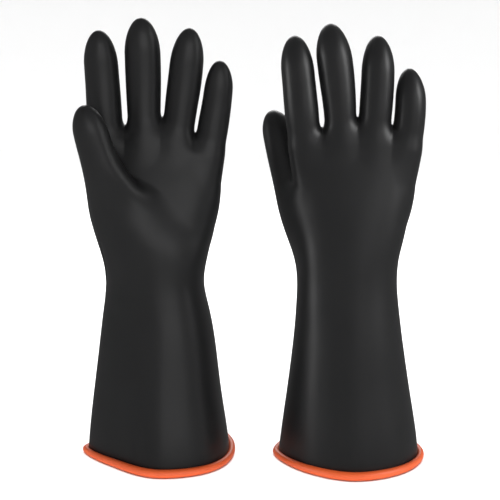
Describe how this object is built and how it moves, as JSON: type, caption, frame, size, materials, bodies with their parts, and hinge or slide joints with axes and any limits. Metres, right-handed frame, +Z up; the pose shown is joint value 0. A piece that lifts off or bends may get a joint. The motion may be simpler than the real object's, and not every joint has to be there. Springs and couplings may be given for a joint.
{
  "type": "electrical insulating gloves",
  "caption": "Pair of long black rubber gauntlet gloves with orange inner layer and rolled orange cuff, standing upright; wrist and digits bend.",
  "frame": {"origin": "on the floor, midway between the two cuffs", "axes": "+Z up along the fingers, +X from the left-hand glove to the right-hand glove, -Y to the viewer; the left glove's palm faces -Y and the right glove's faces +Y"},
  "size_m": [0.2906, 0.1306, 0.3585],
  "materials": {
    "outer_rubber": "satin, smooth dipped surface",
    "inner_rubber": "satin"
  },
  "bodies": {
    "left_gauntlet": {"left_gauntlet": "outer_rubber", "left_gauntlet_lining": "inner_rubber", "left_cuff_bead": "inner_rubber"},
    "left_wrist_band": {"left_wrist_band": "outer_rubber", "left_wrist_band_lining": "inner_rubber"},
    "left_hand": {"left_hand": "outer_rubber", "left_hand_lining": "inner_rubber"},
    "left_thumb_root": {"left_thumb_root": "outer_rubber", "left_thumb_root_lining": "inner_rubber"},
    "left_thumb_tip": {"left_thumb_tip": "outer_rubber", "left_thumb_tip_lining": "inner_rubber"},
    "left_index_root": {"left_index_root": "outer_rubber", "left_index_root_lining": "inner_rubber"},
    "left_index_tip": {"left_index_tip": "outer_rubber", "left_index_tip_lining": "inner_rubber"},
    "left_middle_root": {"left_middle_root": "outer_rubber", "left_middle_root_lining": "inner_rubber"},
    "left_middle_tip": {"left_middle_tip": "outer_rubber", "left_middle_tip_lining": "inner_rubber"},
    "left_ring_root": {"left_ring_root": "outer_rubber", "left_ring_root_lining": "inner_rubber"},
    "left_ring_tip": {"left_ring_tip": "outer_rubber", "left_ring_tip_lining": "inner_rubber"},
    "left_little_root": {"left_little_root": "outer_rubber", "left_little_root_lining": "inner_rubber"},
    "left_little_tip": {"left_little_tip": "outer_rubber", "left_little_tip_lining": "inner_rubber"},
    "right_gauntlet": {"right_gauntlet": "outer_rubber", "right_gauntlet_lining": "inner_rubber", "right_cuff_bead": "inner_rubber"},
    "right_wrist_band": {"right_wrist_band": "outer_rubber", "right_wrist_band_lining": "inner_rubber"},
    "right_hand": {"right_hand": "outer_rubber", "right_hand_lining": "inner_rubber"},
    "right_thumb_root": {"right_thumb_root": "outer_rubber", "right_thumb_root_lining": "inner_rubber"},
    "right_thumb_tip": {"right_thumb_tip": "outer_rubber", "right_thumb_tip_lining": "inner_rubber"},
    "right_index_root": {"right_index_root": "outer_rubber", "right_index_root_lining": "inner_rubber"},
    "right_index_tip": {"right_index_tip": "outer_rubber", "right_index_tip_lining": "inner_rubber"},
    "right_middle_root": {"right_middle_root": "outer_rubber", "right_middle_root_lining": "inner_rubber"},
    "right_middle_tip": {"right_middle_tip": "outer_rubber", "right_middle_tip_lining": "inner_rubber"},
    "right_ring_root": {"right_ring_root": "outer_rubber", "right_ring_root_lining": "inner_rubber"},
    "right_ring_tip": {"right_ring_tip": "outer_rubber", "right_ring_tip_lining": "inner_rubber"},
    "right_little_root": {"right_little_root": "outer_rubber", "right_little_root_lining": "inner_rubber"},
    "right_little_tip": {"right_little_tip": "outer_rubber", "right_little_tip_lining": "inner_rubber"}
  },
  "joints": [
    {"name": "pair_apart", "type": "slide", "parent": "left_gauntlet", "child": "right_gauntlet", "axis": [1, 0, 0], "range_m": [0, 0.2]},
    {"name": "left_wrist_forward", "type": "hinge", "parent": "left_gauntlet", "child": "left_wrist_band", "pos_m": [-0.08, -0.03383, 0.141], "axis": [1, 0, 0], "range_deg": [0, 45], "stiffness_Nm_per_rad": 2},
    {"name": "left_wrist_back", "type": "hinge", "parent": "left_wrist_band", "child": "left_hand", "pos_m": [-0.08, 0.03809, 0.159], "axis": [-1, 0, 0], "range_deg": [0, 40], "stiffness_Nm_per_rad": 2},
    {"name": "left_thumb_root_bend", "type": "hinge", "parent": "left_hand", "child": "left_thumb_root", "pos_m": [-0.13227, -0.03279, 0.23615], "axis": [0.0394, -0.9848, -0.1691], "range_deg": [0, 45], "stiffness_Nm_per_rad": 0.12},
    {"name": "left_thumb_tip_bend", "type": "hinge", "parent": "left_thumb_root", "child": "left_thumb_tip", "pos_m": [-0.10674, -0.0373, 0.26757], "axis": [-0.0305, 0.9848, 0.171], "range_deg": [0, 45], "stiffness_Nm_per_rad": 0.12},
    {"name": "left_index_root_bend", "type": "hinge", "parent": "left_hand", "child": "left_index_root", "pos_m": [-0.11849, -0.01063, 0.28329], "axis": [1, 0, 0], "range_deg": [0, 60], "stiffness_Nm_per_rad": 0.08},
    {"name": "left_index_tip_bend", "type": "hinge", "parent": "left_index_root", "child": "left_index_tip", "pos_m": [-0.11885, -0.01175, 0.30885], "axis": [1, 0, 0], "range_deg": [0, 75], "stiffness_Nm_per_rad": 0.08},
    {"name": "left_middle_root_bend", "type": "hinge", "parent": "left_hand", "child": "left_middle_root", "pos_m": [-0.08774, -0.01028, 0.2873], "axis": [1, 0, 0], "range_deg": [0, 60], "stiffness_Nm_per_rad": 0.08},
    {"name": "left_middle_tip_bend", "type": "hinge", "parent": "left_middle_root", "child": "left_middle_tip", "pos_m": [-0.08799, -0.0125, 0.31575], "axis": [1, 0, 0], "range_deg": [0, 75], "stiffness_Nm_per_rad": 0.08},
    {"name": "left_ring_root_bend", "type": "hinge", "parent": "left_hand", "child": "left_ring_root", "pos_m": [-0.05873, -0.01018, 0.28631], "axis": [1, 0, 0], "range_deg": [0, 60], "stiffness_Nm_per_rad": 0.08},
    {"name": "left_ring_tip_bend", "type": "hinge", "parent": "left_ring_root", "child": "left_ring_tip", "pos_m": [-0.05559, -0.0116, 0.3127], "axis": [1, 0, 0], "range_deg": [0, 75], "stiffness_Nm_per_rad": 0.08},
    {"name": "left_little_root_bend", "type": "hinge", "parent": "left_hand", "child": "left_little_root", "pos_m": [-0.03123, -0.00948, 0.28035], "axis": [1, 0, 0], "range_deg": [0, 60], "stiffness_Nm_per_rad": 0.08},
    {"name": "left_little_tip_bend", "type": "hinge", "parent": "left_little_root", "child": "left_little_tip", "pos_m": [-0.0293, -0.0097, 0.29701], "axis": [1, 0, 0], "range_deg": [0, 75], "stiffness_Nm_per_rad": 0.08},
    {"name": "right_wrist_forward", "type": "hinge", "parent": "right_gauntlet", "child": "right_wrist_band", "pos_m": [0.08, 0.03383, 0.141], "axis": [-1, 0, 0], "range_deg": [0, 45], "stiffness_Nm_per_rad": 2},
    {"name": "right_wrist_back", "type": "hinge", "parent": "right_wrist_band", "child": "right_hand", "pos_m": [0.08, -0.03809, 0.159], "axis": [1, 0, 0], "range_deg": [0, 40], "stiffness_Nm_per_rad": 2},
    {"name": "right_thumb_root_bend", "type": "hinge", "parent": "right_hand", "child": "right_thumb_root", "pos_m": [0.01688, 0.02952, 0.23421], "axis": [-0.0591, -0.9848, 0.1633], "range_deg": [0, 45], "stiffness_Nm_per_rad": 0.12},
    {"name": "right_thumb_tip_bend", "type": "hinge", "parent": "right_thumb_root", "child": "right_thumb_tip", "pos_m": [0.0385, 0.03404, 0.26844], "axis": [0.0505, 0.9848, -0.1661], "range_deg": [0, 45], "stiffness_Nm_per_rad": 0.12},
    {"name": "right_index_root_bend", "type": "hinge", "parent": "right_hand", "child": "right_index_root", "pos_m": [0.03899, 0.01063, 0.28329], "axis": [-1, 0, 0], "range_deg": [0, 60], "stiffness_Nm_per_rad": 0.08},
    {"name": "right_index_tip_bend", "type": "hinge", "parent": "right_index_root", "child": "right_index_tip", "pos_m": [0.03561, 0.01175, 0.30863], "axis": [-1, 0, 0], "range_deg": [0, 75], "stiffness_Nm_per_rad": 0.08},
    {"name": "right_middle_root_bend", "type": "hinge", "parent": "right_hand", "child": "right_middle_root", "pos_m": [0.06974, 0.01028, 0.28731], "axis": [-1, 0, 0], "range_deg": [0, 60], "stiffness_Nm_per_rad": 0.08},
    {"name": "right_middle_tip_bend", "type": "hinge", "parent": "right_middle_root", "child": "right_middle_tip", "pos_m": [0.06612, 0.0125, 0.31553], "axis": [-1, 0, 0], "range_deg": [0, 75], "stiffness_Nm_per_rad": 0.08},
    {"name": "right_ring_root_bend", "type": "hinge", "parent": "right_hand", "child": "right_ring_root", "pos_m": [0.09875, 0.01018, 0.28631], "axis": [-1, 0, 0], "range_deg": [0, 60], "stiffness_Nm_per_rad": 0.08},
    {"name": "right_ring_tip_bend", "type": "hinge", "parent": "right_ring_root", "child": "right_ring_tip", "pos_m": [0.09875, 0.0116, 0.31288], "axis": [-1, 0, 0], "range_deg": [0, 75], "stiffness_Nm_per_rad": 0.08},
    {"name": "right_little_root_bend", "type": "hinge", "parent": "right_hand", "child": "right_little_root", "pos_m": [0.12625, 0.00948, 0.28035], "axis": [-1, 0, 0], "range_deg": [0, 60], "stiffness_Nm_per_rad": 0.08},
    {"name": "right_little_tip_bend", "type": "hinge", "parent": "right_little_root", "child": "right_little_tip", "pos_m": [0.12619, 0.0097, 0.29711], "axis": [-1, 0, 0], "range_deg": [0, 75], "stiffness_Nm_per_rad": 0.08}
  ]
}
